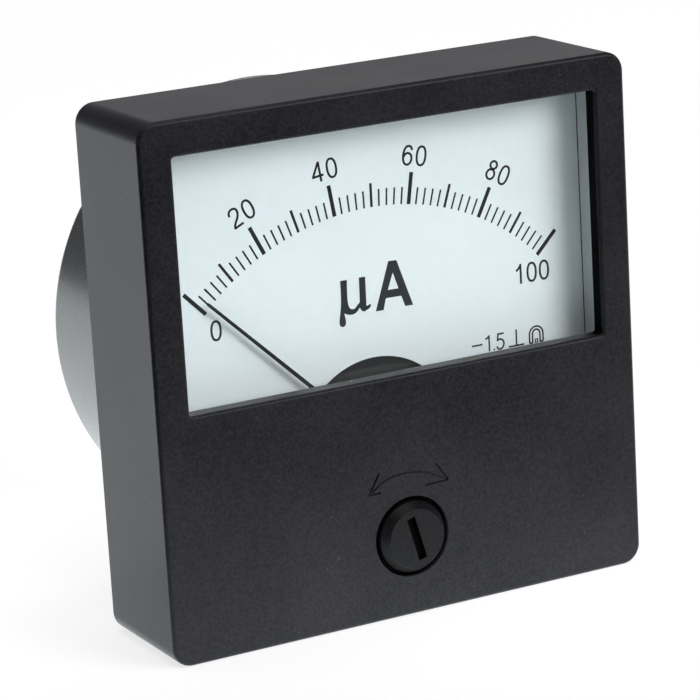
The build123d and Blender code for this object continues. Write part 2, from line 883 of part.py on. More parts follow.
# Zero lever: a ring on the bush of the front bridge, a fork for the adjuster's pin and a
# bent tab for the outer end of the front hairspring
fork_half = pin_radius + fork_clearance
fork_end = pivot_z - (adjuster_z - fork_reach)
fork_start = pivot_z - (adjuster_z + pin_offset + fork_reach)
with BuildPart() as zero_lever:
    with BuildSketch(at(lever_rear_y)):
        with Locations(pivot):
            Circle(lever_ring_radius)
            Rectangle(lever_width, fork_end, align=(Align.CENTER, Align.MAX))
            with PolarLocations(tab_radius / 2, 1, tab_angle):
                Rectangle(tab_radius + tab_thickness, tab_length)
        with Locations((0, pivot_z - fork_start + fork_wall)):
            Rectangle(
                2 * (fork_half + fork_wall),
                fork_end - fork_start + fork_wall,
                align=(Align.CENTER, Align.MAX),
            )
        with Locations(pivot):
            Circle(bush_radius + running_clearance, mode=Mode.SUBTRACT)
        with Locations((0, pivot_z - fork_start)):
            Rectangle(
                2 * fork_half,
                fork_end - fork_start,
                align=(Align.CENTER, Align.MAX),
                mode=Mode.SUBTRACT,
            )
    extrude(amount=lever_thickness)
    with BuildSketch(at(spring_y + spring_width)):
        with Locations(pivot):
            with PolarLocations(tab_radius, 1, tab_angle):
                Rectangle(tab_thickness, tab_length)
    extrude(amount=spring_y + spring_width - lever_rear_y)
save(zero_lever.part, "zero_lever")

# Zero adjuster: a bevelled cap with a screwdriver slot, its shaft and an eccentric pin
recess_floor = front_y + adjuster_recess_depth
cap_y = front_y - cap_proud
adjuster_body = turned(
    [
        (shaft_end_y, 0),
        (shaft_end_y, shaft_radius),
        (recess_floor - cap_gap, shaft_radius),
        (recess_floor - cap_gap, cap_radius),
        (front_y - cap_edge, cap_radius),
        (cap_y, cap_face_radius),
        (cap_y, 0),
    ],
    *adjuster,
)
with BuildPart() as zero_adjuster:
    add(adjuster_body)
    with BuildSketch(at(cap_y)):
        with Locations(adjuster):
            Rectangle(slot_width, slot_length, rotation=slot_tilt)
    extrude(amount=-slot_depth, mode=Mode.SUBTRACT)
    with BuildSketch(at(lever_rear_y + pin_reach)):
        with Locations((0, adjuster_z + pin_offset)):
            Circle(pin_radius)
    extrude(amount=lever_rear_y + pin_reach - shaft_end_y)
save(zero_adjuster.part, "zero_adjuster")

with BuildPart() as adjuster_clip:
    with BuildSketch(at(face_rear_y + clip_gap + clip_thickness)):
        with Locations(adjuster):
            Circle(clip_radius)
            Circle(shaft_radius + thread_clearance, mode=Mode.SUBTRACT)
    extrude(amount=clip_thickness)
save(adjuster_clip.part, "adjuster_clip")
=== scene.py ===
import bpy
import bmesh
import json
from math import copysign, cos, pi, radians, sin, tan
from mathutils import Matrix, Vector


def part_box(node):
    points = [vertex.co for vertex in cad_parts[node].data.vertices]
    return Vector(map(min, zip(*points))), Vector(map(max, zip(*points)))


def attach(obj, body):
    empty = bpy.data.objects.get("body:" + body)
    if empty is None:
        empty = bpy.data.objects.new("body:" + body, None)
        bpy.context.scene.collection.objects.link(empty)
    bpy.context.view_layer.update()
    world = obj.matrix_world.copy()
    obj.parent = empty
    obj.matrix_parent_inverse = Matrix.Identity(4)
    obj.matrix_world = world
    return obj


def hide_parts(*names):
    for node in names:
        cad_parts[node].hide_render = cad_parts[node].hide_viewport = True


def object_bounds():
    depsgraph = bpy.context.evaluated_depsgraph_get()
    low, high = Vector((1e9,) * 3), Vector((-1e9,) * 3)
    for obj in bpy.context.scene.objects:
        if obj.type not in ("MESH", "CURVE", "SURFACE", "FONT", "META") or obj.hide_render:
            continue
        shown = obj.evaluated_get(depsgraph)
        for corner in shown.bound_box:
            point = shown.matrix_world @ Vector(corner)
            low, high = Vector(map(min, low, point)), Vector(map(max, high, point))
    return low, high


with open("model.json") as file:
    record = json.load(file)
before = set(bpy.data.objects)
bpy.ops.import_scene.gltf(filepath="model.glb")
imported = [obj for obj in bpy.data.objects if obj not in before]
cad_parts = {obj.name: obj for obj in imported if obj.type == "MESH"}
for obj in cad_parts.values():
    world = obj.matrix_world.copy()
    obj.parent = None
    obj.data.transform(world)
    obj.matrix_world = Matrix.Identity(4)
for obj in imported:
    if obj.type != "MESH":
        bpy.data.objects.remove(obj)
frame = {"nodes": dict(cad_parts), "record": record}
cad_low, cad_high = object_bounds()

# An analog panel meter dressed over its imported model. X is to the right as the dial is
# read, Y runs back into the panel and Z is up. Lengths are in metres; mm turns
# millimetres into them.
mm = 0.001

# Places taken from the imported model
front_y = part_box("front_cover")[0].y
dial_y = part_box("dial_plate")[0].y
pane_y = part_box("window_pane")[0].y
adjuster_low, adjuster_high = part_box("zero_adjuster")
adjuster_z = (adjuster_low.z + adjuster_high.z) / 2
stud_low, stud_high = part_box("mounting_studs")
terminal_low, terminal_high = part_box("terminal_studs")
nut_low, nut_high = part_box("terminal_nuts")

# Corners closer than these are one: in meshes made here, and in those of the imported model
made_weld = 0.0005 * mm
packed_weld = 0.001 * mm


# Helpers for geometry

def linked(name, data):
    made = bpy.data.objects.new(name, data)
    bpy.context.scene.collection.objects.link(made)
    return made


def new_object(name, mesh, body, slot, look=None):
    """Adds a piece that rides on a body, with its slot's material or a look of its own."""
    piece = linked(name, mesh)
    mesh.materials.clear()
    mesh.materials.append(look or looks[slot])
    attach(piece, body)
    return piece


def finished(shape, sharp=None):
    """The mesh of a shape, smooth up to an angle where one is given."""
    bmesh.ops.recalc_face_normals(shape, faces=shape.faces)
    mesh = bpy.data.meshes.new("shape")
    shape.to_mesh(mesh)
    shape.free()
    if sharp is not None:
        mesh.shade_smooth()
        mesh.set_sharp_from_angle(angle=sharp)
    return mesh


def packed_copy(node):
    """A shape with a node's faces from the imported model, joined at their corners."""
    shape = bmesh.new()
    shape.from_mesh(frame["nodes"][node].data)
    bmesh.ops.remove_doubles(shape, verts=shape.verts, dist=packed_weld)
    return shape


def even_flats(mesh, angle):
    """Shades faces along the axes as flat, and lets rounded edges run into them smoothly."""
    on_axis = 0.99995
    flats = {}
    for face in mesh.polygons:
        if max(abs(part) for part in face.normal) > on_axis:
            for vertex in face.vertices:
                flats.setdefault(vertex, []).append(face.normal.copy())
    normals = []
    for face in mesh.polygons:
        for corner in face.loop_indices:
            near = [flat for flat in flats.get(mesh.loops[corner].vertex_index, ())
                    if flat.dot(face.normal) > cos(angle)]
            own = mesh.corner_normals[corner].vector.copy()
            normals.append(max(near, key=face.normal.dot) if near else own)
    mesh.normals_split_custom_set(normals)


def prism(shape, loop, y0, y1):
    """Adds a closed straight-sided solid over a loop of (x, z) in mm between two depths."""
    near = [shape.verts.new((x * mm, y0, z * mm)) for x, z in loop]
    far = [shape.verts.new((x * mm, y1, z * mm)) for x, z in loop]
    shape.faces.new(near)
    shape.faces.new(far[::-1])
    for i in range(len(loop)):
        j = (i + 1) % len(loop)
        shape.faces.new((near[j], near[i], far[i], far[j]))


def smoothed(points, closed=False, steps=6):
    """A round line through points."""
    points = [Vector(point) for point in points]
    count = len(points)
    line = []
    for i in range(count if closed else count - 1):
        if closed:
            a, b, c, d = (points[(i + k) % count] for k in (-1, 0, 1, 2))
        else:
            a, b, c, d = (points[min(max(i + k, 0), count - 1)] for k in (-1, 0, 1, 2))
        for step in range(steps):
            t = step / steps
            line.append(0.5 * (2 * b + (c - a) * t + (2 * a - 5 * b + 4 * c - d) * t ** 2
                               + (3 * b - a - 3 * c + d) * t ** 3))
    return line if closed else line + [points[-1]]


def stroke(shape, line, width, y0, y1, closed=False):
    """Adds a line of even width, as a closed solid along points of (x, z) in mm."""
    count = len(line)
    rings = []
    for i, point in enumerate(line):
        before = line[i - 1] if closed or i else point
        after = line[(i + 1) % count] if closed or i < count - 1 else point
        along = (Vector(after) - Vector(before)).normalized()
        side = Vector((-along.y, along.x)) * width / 2
        ring = []
        for offset, y in ((side, y0), (-side, y0), (-side, y1), (side, y1)):
            ring.append(shape.verts.new(((point[0] + offset.x) * mm, y, (point[1] + offset.y) * mm)))
        rings.append(ring)
    for i in range(count if closed else count - 1):
        one, two = rings[i], rings[(i + 1) % count]
        for k in range(4):
            shape.faces.new((one[k], one[(k + 1) % 4], two[(k + 1) % 4], two[k]))
    if not closed:
        shape.faces.new(rings[0])
        shape.faces.new(rings[-1][::-1])


def outline_mesh(loops, y, depth):
    """A flat solid from closed loops of (x, z, smooth) in mm, filled between nested loops."""
    curve = bpy.data.curves.new("outline", "CURVE")
    curve.dimensions = "2D"
    curve.fill_mode = "BOTH"
    curve.extrude = depth / 2
    curve.resolution_u = 6
    for loop in loops:
        spline = curve.splines.new("BEZIER")
        spline.bezier_points.add(len(loop) - 1)
        for point, (x, z, smooth) in zip(spline.bezier_points, loop):
            point.co = (x * mm, z * mm, 0)
            point.handle_left_type = point.handle_right_type = "AUTO" if smooth else "VECTOR"
        spline.use_cyclic_u = True
    carrier = linked("carrier", curve)
    graph = bpy.context.evaluated_depsgraph_get()
    mesh = bpy.data.meshes.new_from_object(carrier.evaluated_get(graph))
    bpy.data.objects.remove(carrier)
    mesh.transform(Matrix.Translation((0, y, 0)) @ Matrix.Rotation(radians(90), 4, "X"))
    return mesh


def joined(meshes):
    """One mesh of several, with touching vertices merged."""
    shape = bmesh.new()
    for mesh in meshes:
        shape.from_mesh(mesh)
        bpy.data.meshes.remove(mesh)
    bmesh.ops.remove_doubles(shape, verts=shape.verts, dist=made_weld)
    return finished(shape)


def round_corner(shape, x, z, radius, y, angle):
    """Adds a corner at an angle round the line along Y at (x, z)."""
    return shape.verts.new((x + radius * cos(angle), y, z + radius * sin(angle)))


def skin(shape, rows):
    """Adds the faces between each closed row of corners and the next one."""
    for one, two in zip(rows, rows[1:]):
        for i in range(len(one)):
            j = (i + 1) % len(one)
            shape.faces.new((one[i], one[j], two[j], two[i]))


def turned(shape, x, z, rings, around=32):
    """Adds a closed turned solid along Y at (x, z) from (radius, y) rings."""
    rows = [[round_corner(shape, x, z, radius, y, 2 * pi * i / around) for i in range(around)]
            for radius, y in rings]
    skin(shape, rows)
    shape.faces.new(rows[0])
    shape.faces.new(rows[-1][::-1])


def thread(shape, x, z, y0, y1, radius, pitch, around=28):
    """Adds a rod with a helical thread along Y at (x, z), open at its ends."""
    profile = (0, 0, 0.33, 1, 1, 0.67)
    rows = len(profile)
    depth = 0.6 * pitch
    turns = int((y1 - y0) / pitch) + 3
    grid = []
    for k in range(turns * rows + 1):
        line = []
        for i in range(around):
            y = y0 - pitch + pitch * (k / rows + i / around)
            bevel = max(y0 + depth - y, y - y1 + depth, 0)
            r = radius - min(max(depth * profile[k % rows], bevel), depth)
            line.append(round_corner(shape, x, z, r, min(max(y, y0), y1), 2 * pi * i / around))
        grid.append(line)
    for k in range(turns * rows):
        for i in range(around - 1):
            shape.faces.new((grid[k][i], grid[k][i + 1], grid[k + 1][i + 1], grid[k + 1][i]))
        if k + 1 + rows <= turns * rows:
            shape.faces.new((grid[k][-1], grid[k + rows][0], grid[k + rows + 1][0], grid[k + 1][-1]))


def threaded_mesh(shape):
    """The mesh of threaded pieces, with their rows joined and their ends closed."""
    bmesh.ops.remove_doubles(shape, verts=shape.verts, dist=made_weld)
    bmesh.ops.holes_fill(shape, edges=shape.edges, sides=0)
    return finished(shape, sharp=radians(40))


def nut(shape, x, z, y0, y1, flats, bore, around=48):
    """Adds a hexagon nut along Y at (x, z), with its corners chamfered at both ends."""
    face = flats / 2
    land = 0.97 * face
    chamfer = tan(radians(30))
    rows = [[] for _ in range(6)]
    for i in range(around):
        angle = 2 * pi * i / around
        edge = face / cos((angle + radians(30)) % radians(60) - radians(30))
        drop = (edge - land) * chamfer
        places = ((bore, y0), (land, y0), (edge, y0 + drop), (edge, y1 - drop), (land, y1), (bore, y1))
        for row, (radius, y) in zip(rows, places):
            row.append(round_corner(shape, x, z, radius, y, angle))
    skin(shape, rows + rows[:1])


# Helpers for materials

def material(name, **sockets):
    made = bpy.data.materials.new(name)
    made.use_nodes = True
    shader = made.node_tree.nodes["Principled BSDF"]
    for socket, value in sockets.items():
        shader.inputs[socket.replace("_", " ")].default_value = value
    return made


def put(tree, kind, settings=None, **inputs):
    """Adds a node. An input is a plain value or another node's output."""
    made = tree.nodes.new("ShaderNode" + kind)
    for key, value in (settings or {}).items():
        setattr(made, key, value)
    for key, value in inputs.items():
        socket = made.inputs[int(key[1:]) if key[0] == "i" and key[1:].isdigit() else key.replace("_", " ")]
        if isinstance(value, bpy.types.NodeSocket):
            tree.links.new(value, socket)
        else:
            socket.default_value = value
    return made


def object_place(tree):
    return put(tree, "TexCoord").outputs["Object"]


def worked_out(tree, operation, *values):
    """The result of one sum or comparison."""
    return put(tree, "Math", {"operation": operation},
               **{f"i{k}": value for k, value in enumerate(values)}).outputs[0]


def spread(tree, source, low, high, out_low, out_high):
    """Maps a grey value from one range to another."""
    return put(tree, "MapRange", i0=source, i1=low, i2=high, i3=out_low, i4=out_high).outputs[0]


def blend_colours(tree, factor, first, second):
    return put(tree, "Mix", {"data_type": "RGBA"}, i0=factor, i6=first, i7=second).outputs[2]


def distance_from(tree, place, point):
    return put(tree, "VectorMath", {"operation": "DISTANCE"}, i0=place, i1=point).outputs["Value"]


def dust_mask(tree, place, scale, share, radius):
    """White where a speck lies: a few small dots, one in some of the pattern's cells."""
    cells = put(tree, "TexVoronoi", Vector=place, Scale=scale)
    chance = put(tree, "SeparateColor", Color=cells.outputs["Color"])
    size = spread(tree, chance.outputs[0], 1 - share, 1, 0, radius * scale)
    return worked_out(tree, "LESS_THAN", cells.outputs["Distance"], size)


# Where the values of the noise and of the plastics' tone mostly lie
broad_range = (0.35, 0.65)
marks_range = (0.3, 0.7)
tone_range = (0.2, 0.8)


def moulded(name, dark, light, rough, specular, grain, depth, dust):
    """Moulded plastic: a fine grain, slow changes of tone and gloss, and dust specks."""
    broad_share = 0.14
    gloss_swing = 0.06
    made = material(name, Specular_IOR_Level=specular)
    tree = made.node_tree
    shader = tree.nodes["Principled BSDF"]
    place = object_place(tree)
    fine = put(tree, "TexNoise", Vector=place, Scale=grain, Detail=3.0, Roughness=0.6).outputs[0]
    broad = put(tree, "TexNoise", Vector=place, Scale=60.0, Detail=2.0).outputs[0]
    tone = worked_out(tree, "MULTIPLY_ADD", fine, 1 - broad_share,
                      spread(tree, broad, *broad_range, 0, broad_share))
    colour = blend_colours(tree, spread(tree, tone, *tone_range, 0, 1), dark, light)
    for scale, share, radius, value in dust:
        mask = dust_mask(tree, place, scale, share, radius)
        colour = blend_colours(tree, mask, colour, (value, value, value * 1.02, 1))
    tree.links.new(colour, shader.inputs["Base Color"])
    gloss = spread(tree, tone, *tone_range, rough - gloss_swing, rough + gloss_swing)
    tree.links.new(gloss, shader.inputs["Roughness"])
    bump = put(tree, "Bump", Height=fine, Strength=0.5, Distance=depth)
    tree.links.new(bump.outputs[0], shader.inputs["Normal"])
    return made


def pit(tree, place, x, z, radius, y):
    """White within a radius of a line along Y and deeper than y."""
    flat = put(tree, "Mapping", Vector=place, Scale=(1, 0, 1)).outputs[0]
    inside = worked_out(tree, "LESS_THAN", distance_from(tree, flat, (x, 0, z)), radius)
    deep = put(tree, "SeparateXYZ", Vector=place).outputs["Y"]
    deep = worked_out(tree, "GREATER_THAN", deep, y)
    return worked_out(tree, "MULTIPLY", inside, deep)


def paint_deep_shade(made, mask, specular):
    """Paints shade into a material: near black and dull where the mask is white."""
    shade_colour = (0.0008, 0.0008, 0.0009, 1)
    shade_specular = 0.02
    tree = made.node_tree
    shader = tree.nodes["Principled BSDF"]
    colour = shader.inputs["Base Color"].links[0].from_socket
    tree.links.new(blend_colours(tree, mask, colour, shade_colour), shader.inputs["Base Color"])
    tree.links.new(spread(tree, mask, 0, 1, specular, shade_specular), shader.inputs["Specular IOR Level"])


def metal(name, dark, light, rough, stretch, lines, depth):
    """Worked metal: fine marks drawn out along one way, with uneven tone and gloss."""
    made = material(name, Metallic=1.0)
    tree = made.node_tree
    shader = tree.nodes["Principled BSDF"]
    place = object_place(tree)
    drawn = put(tree, "Mapping", Vector=place, Scale=stretch).outputs[0]
    marks = put(tree, "TexNoise", Vector=drawn, Scale=lines, Detail=4.0, Roughness=0.7).outputs[0]
    broad = put(tree, "TexNoise", Vector=place, Scale=250.0, Detail=3.0).outputs[0]
    colour = blend_colours(tree, spread(tree, broad, *broad_range, 0, 1), dark, light)
    tree.links.new(colour, shader.inputs["Base Color"])
    tree.links.new(spread(tree, marks, *marks_range, rough - 0.08, rough + 0.1), shader.inputs["Roughness"])
    bump = put(tree, "Bump", Height=marks, Strength=0.4, Distance=depth)
    tree.links.new(bump.outputs[0], shader.inputs["Normal"])
    return made


# How far the marks of a metal are drawn out
even = (1, 1, 1)
along_y = (1, 0.08, 1)
across_y = (0.08, 1, 0.08)
wound = (8, 0.05, 8)

# Specks: pattern's scale, share of its cells, radius, brightness
large_dust = (260.0, 0.35, 0.00013, 0.55)
small_dust = (900.0, 0.3, 0.00006, 0.2)
cover_specular, adjuster_specular = 0.17, 0.13

# Plastics: dark and light tone, roughness, specular level, grain's scale, its depth, dust
plastics = {
    "cover_plastic": ((0.001, 0.0009, 0.0015, 1), (0.023, 0.022, 0.027, 1), 0.4, cover_specular, 2400.0,
                      0.00006, (large_dust, small_dust)),
    "case_plastic": ((0.010, 0.010, 0.012, 1), (0.016, 0.016, 0.019, 1), 0.27, 0.7, 2200.0,
                     0.000004, (large_dust,)),
    "adjuster_plastic": ((0.002, 0.0018, 0.0025, 1), (0.011, 0.0108, 0.012, 1), 0.36, adjuster_specular,
                         2400.0, 0.0001, (large_dust, small_dust)),
    "movement_black": ((0.006, 0.006, 0.0062, 1), (0.012, 0.012, 0.0125, 1), 0.5, 0.3, 2600.0,
                       0.00001, (large_dust,)),
    "pointer_black": ((0.004, 0.004, 0.0045, 1), (0.008, 0.008, 0.0085, 1), 0.5, 0.2, 5000.0, 0.000003, ()),
    "dial_paint": ((0.73, 0.78, 0.775, 1), (0.79, 0.825, 0.82, 1), 0.62, 0.3, 1600.0, 0.000002, ()),
    "slate_ink": ((0.012, 0.016, 0.018, 1), (0.024, 0.029, 0.032, 1), 0.6, 0.12, 2500.0, 0.000002, ()),
    "lead_red": ((0.36, 0.015, 0.012, 1), (0.46, 0.025, 0.02, 1), 0.5, 0.4, 1500.0, 0.000006, ()),
    "lead_black": ((0.012, 0.012, 0.013, 1), (0.022, 0.022, 0.024, 1), 0.5, 0.4, 1500.0, 0.000006, ()),
}
# Metals: dark and light tone, roughness, way of the marks, their scale and depth
metals = {
    "brass": ((0.70, 0.47, 0.19, 1), (0.80, 0.58, 0.28, 1), 0.26, across_y, 5000.0, 0.000004),
    "steel": ((0.52, 0.53, 0.55, 1), (0.66, 0.67, 0.68, 1), 0.3, across_y, 5000.0, 0.000004),
    "soft_iron": ((0.34, 0.34, 0.35, 1), (0.45, 0.45, 0.46, 1), 0.4, across_y, 3000.0, 0.000006),
    "magnet": ((0.24, 0.24, 0.26, 1), (0.34, 0.34, 0.35, 1), 0.34, along_y, 2400.0, 0.000004),
    "aluminium": ((0.68, 0.69, 0.71, 1), (0.8, 0.81, 0.82, 1), 0.36, even, 2600.0, 0.000003),
    "copper": ((0.48, 0.16, 0.06, 1), (0.66, 0.27, 0.12, 1), 0.24, wound, 900.0, 0.00004),
    "bronze": ((0.55, 0.32, 0.14, 1), (0.68, 0.43, 0.2, 1), 0.3, along_y, 3000.0, 0.000002),
}
looks = {name: moulded(name, *values) for name, values in plastics.items()}
looks.update({name: metal(name, *values) for name, values in metals.items()})

# The gap round the adjuster, the window's right wall and the screwdriver slot lie in deep shade, which is
# painted into the plastics as near black without gloss. Each is masked by a radius round a line and by a
# depth.
gap_radius = 6.4 * mm
wall_x, wall_half_width = 35.3 * mm, 1.4 * mm
wall_z, wall_radius = 16 * mm, 20 * mm
slot_radius = 3.9 * mm
below_cover, below_cap = 0.6 * mm, 0.2 * mm
tree = looks["cover_plastic"].node_tree
place = object_place(tree)
gap = pit(tree, place, 0, adjuster_z, gap_radius, front_y + below_cover)
sideways = put(tree, "SeparateXYZ", Vector=place).outputs["X"]
wall = worked_out(tree, "COMPARE", sideways, wall_x, wall_half_width)
wall = worked_out(tree, "MULTIPLY", wall,
                  pit(tree, place, wall_x, wall_z, wall_radius, front_y + below_cover))
paint_deep_shade(looks["cover_plastic"], worked_out(tree, "MAXIMUM", gap, wall), cover_specular)
# The adjuster's screwdriver slot gets the same painted shade
tree = looks["adjuster_plastic"].node_tree
slot = pit(tree, object_place(tree), 0, adjuster_z, slot_radius, adjuster_low.y + below_cap)
paint_deep_shade(looks["adjuster_plastic"], slot, adjuster_specular)

# Clear moulded pane, faintly grey-blue, with a trace of uneven gloss and a frosted skirt
skirt_y = pane_y + 1.55 * mm
face_haze, skirt_haze = 0.02, 0.35
skirt_clearness = 0.6
looks["window_clear"] = material("window_clear", IOR=1.49, Base_Color=(0.93, 0.965, 0.985, 1))
tree = looks["window_clear"].node_tree
shader = tree.nodes["Principled BSDF"]
place = object_place(tree)
haze = put(tree, "TexNoise", Vector=place, Scale=120.0, Detail=3.0).outputs[0]
frosted = worked_out(tree, "GREATER_THAN", put(tree, "SeparateXYZ", Vector=place).outputs["Y"], skirt_y)
uneven = spread(tree, haze, *marks_range, 0, face_haze)
tree.links.new(worked_out(tree, "MULTIPLY_ADD", frosted, skirt_haze, uneven), shader.inputs["Roughness"])
tree.links.new(spread(tree, frosted, 0, 1, 1, skirt_clearness), shader.inputs["Transmission Weight"])

for entry in frame["record"]["subparts"]:
    node = frame["nodes"][entry["node"]]
    node.data.materials.clear()
    node.data.materials.append(looks[entry["material_slot"]])
frame["nodes"]["window_pane"].visible_shadow = False


# Printed scale, measured in the photograph on the dial's face. From here to the class
# marks, points and widths are in mm.
scale_centre = Vector((-0.2, -18.83))
scale_inner = 39.95
scale_span = radians(89.05)
scale_lean = radians(0.22)
end_inset = 0.17
figure_stroke = 0.35
mark_stroke = 0.27
print_y = dial_y - 0.02 * mm

# Long rules at every 20, middle ones at every 10 and short ones at every 2: (radius, width)
scale_rules = {20: (44.72, 0.62), 10: (43.53, 0.42), 2: (42.5, 0.28)}
rules = bmesh.new()
for mark in range(0, 101, 2):
    outer, width = scale_rules[20 if mark % 20 == 0 else 10 if mark % 10 == 0 else 2]
    angle = scale_span * (0.5 - mark / 100) - scale_lean
    along = Vector((-sin(angle), cos(angle)))
    inset = end_inset if mark in (0, 100) else 0
    ends = [scale_centre + along * (radius - inset) for radius in (scale_inner, outer)]
    stroke(rules, ends, width, print_y, dial_y)
new_object("scale_rules", finished(rules), "housing", "pointer_black")


def nought(half_width, half_height, fullness, count=16):
    """A closed line round a squarish oval."""
    turns = [2 * pi * (i + 0.5) / count for i in range(count)]
    return [(half_width * copysign(abs(cos(turn)) ** fullness, cos(turn)),
             half_height * copysign(abs(sin(turn)) ** fullness, sin(turn))) for turn in turns]


def oval(z, half_width, half_height, count=12):
    """A closed line round an oval at height z."""
    return [(half_width * cos(2 * pi * i / count), z + half_height * sin(2 * pi * i / count))
            for i in range(count)]


# Figures, drawn as lines about their own middles: (points, closed, curved)
glyphs = {
    "0": ((nought(0.73, 1.39, 0.87), True, True),),
    "1": (([(0.36, 1.54), (0.36, -1.54)], False, False),
          ([(0.38, 1.42), (0.2, 1.08), (-0.08, 0.78), (-0.42, 0.5)], False, True)),
    "2": (([(-0.7, 0.58), (-0.62, 1.02), (-0.33, 1.31), (0.06, 1.39), (0.48, 1.27), (0.72, 0.85),
            (0.63, 0.33), (0.3, -0.18), (-0.25, -0.68), (-0.62, -1.1), (-0.74, -1.5)], False, True),
          ([(-0.85, -1.38), (0.8, -1.38)], False, False)),
    "4": (([(0.36, 1.45), (-0.88, -0.6)], False, False), ([(-0.98, -0.6), (0.9, -0.6)], False, False),
          ([(0.36, 1.54), (0.36, -1.52)], False, False)),
    "6": (([(0.7, 0.78), (0.5, 1.23), (0.08, 1.39), (-0.38, 1.18), (-0.66, 0.55), (-0.73, -0.35),
            (-0.5, -1.1), (0.0, -1.39), (0.52, -1.12), (0.71, -0.5), (0.53, 0.1), (0.03, 0.34),
            (-0.42, 0.14), (-0.68, -0.35)], False, True),),
    "8": ((oval(0.8, 0.57, 0.58), True, True), (oval(-0.65, 0.68, 0.74), True, True)),
}
# Word, middle of each digit, turn in degrees
figures = (("0", ((-26.55, 6.95),), 0),
           ("20", ((-22.31, 22.97), (-20.17, 23.95)), 25.5),
           ("40", ((-8.62, 27.6), (-6.29, 27.93)), 8.5),
           ("60", ((6.41, 27.91), (8.68, 27.49)), -9.5),
           ("80", ((20.61, 23.58), (22.63, 22.49)), -27.5),
           ("100", ((24.44, 6.95), (26.74, 6.95), (28.92, 6.93)), 0))
words = bmesh.new()
for word, places, turn in figures:
    spin = Matrix.Rotation(radians(turn), 2)
    for digit, middle in zip(word, places):
        for points, closed, curved in glyphs[digit]:
            line = [Vector(middle) + spin @ Vector(point) for point in points]
            stroke(words, smoothed(line, closed) if curved else line, figure_stroke, print_y, dial_y, closed)
new_object("scale_figures", finished(words), "housing", "pointer_black")

# Unit: the letters mu and A, drawn as outlines of (x, z, smooth)
mu = [(-5.97, 10.92, 0), (-4.83, 10.9, 0), (-4.89, 9.44, 1), (-4.88, 7.51, 1), (-4.74, 6.86, 1),
      (-4.39, 6.43, 1), (-3.81, 6.36, 0), (-2.9, 7.22, 0), (-2.86, 9.11, 1), (-2.82, 10.93, 0),
      (-1.77, 10.91, 0), (-1.8, 8.44, 1), (-1.83, 6.56, 0), (-1.66, 6.48, 1), (-1.14, 6.63, 1),
      (-1.07, 6.43, 1), (-1.3, 6.08, 1), (-1.75, 5.86, 1), (-2.3, 5.69, 1), (-2.66, 5.92, 1),
      (-2.95, 6.39, 0), (-3.47, 5.82, 1), (-4.02, 5.57, 1), (-4.77, 5.6, 1), (-5.29, 5.79, 1),
      (-5.56, 5.98, 0), (-5.45, 5.28, 1), (-5.37, 4.59, 1), (-5.48, 4.17, 1), (-5.73, 3.97, 1),
      (-5.99, 3.95, 1), (-6.3, 4.12, 1), (-6.46, 4.49, 1), (-6.44, 4.87, 1), (-6.27, 5.81, 1),
      (-6.05, 7.22, 1), (-5.96, 9.14, 1)]
ampere = [(2.22, 12.6, 0), (3.6, 12.54, 0), (6.03, 5.32, 0), (4.68, 5.34, 0), (4.1, 7.02, 0), (1.5, 7.06, 0),
          (1.0, 5.33, 0), (-0.31, 5.36, 0)]
ampere_eye = [(2.87, 10.77, 0), (3.69, 8.23, 0), (1.9, 8.26, 0)]
unit = [outline_mesh(loops, (print_y + dial_y) / 2, dial_y - print_y)
        for loops in ([mu], [ampere, ampere_eye])]
new_object("unit_letters", joined(unit), "housing", "pointer_black", looks["slate_ink"])

# Class marks at the lower right: direct current, accuracy, upright use and moving coil,
# whose sign is a horseshoe magnet with a core between its legs
magnet_x, magnet_z, magnet_foot = 27.06, -2.8, -4.1
magnet_outer, magnet_inner, magnet_inner_rise = 1.2, 0.66, 0.72
core_half, core_top = 0.22, -3.64


def horseshoe(half_width, rise, count=12):
    arch = [(half_width * cos(pi - pi * i / count), rise * sin(pi * i / count)) for i in range(count + 1)]
    drop = magnet_foot - magnet_z
    return [(magnet_x + x, magnet_z + z) for x, z in [(-half_width, drop)] + arch + [(half_width, drop)]]


marks = bmesh.new()
for points, closed, curved in (
    ([(15.72, -2.84), (17.56, -2.84)], False, False),
    ([(18.75, -1.6), (18.75, -4.12)], False, False),
    ([(18.77, -1.68), (18.55, -1.92), (18.12, -2.14)], False, True),
    ([(19.46, -3.98), (19.72, -3.98)], False, False),
    ([(21.36, -1.7), (20.26, -1.7)], False, False),
    ([(20.36, -1.62), (20.2, -2.78)], False, False),
    ([(20.14, -2.68), (20.62, -2.52), (21.1, -2.7), (21.33, -3.2), (21.14, -3.8), (20.66, -4.08),
      (20.26, -3.92), (20.1, -3.58)], False, True),
    ([(23.55, -1.5), (23.53, -4.1)], False, False),
    ([(22.15, -4.02), (24.88, -4.02)], False, False),
    (horseshoe(magnet_outer, magnet_outer), False, False),
    (horseshoe(magnet_inner, magnet_inner_rise), False, False),
    ([(magnet_x - magnet_outer, magnet_foot), (magnet_x - magnet_inner, magnet_foot)], False, False),
    ([(magnet_x + magnet_inner, magnet_foot), (magnet_x + magnet_outer, magnet_foot)], False, False),
    ([(magnet_x - core_half, magnet_foot), (magnet_x - core_half, core_top),
      (magnet_x + core_half, core_top), (magnet_x + core_half, magnet_foot)], True, False),
):
    stroke(marks, smoothed(points, closed) if curved else points, mark_stroke, print_y, dial_y, closed)
new_object("class_marks", finished(marks), "housing", "pointer_black")


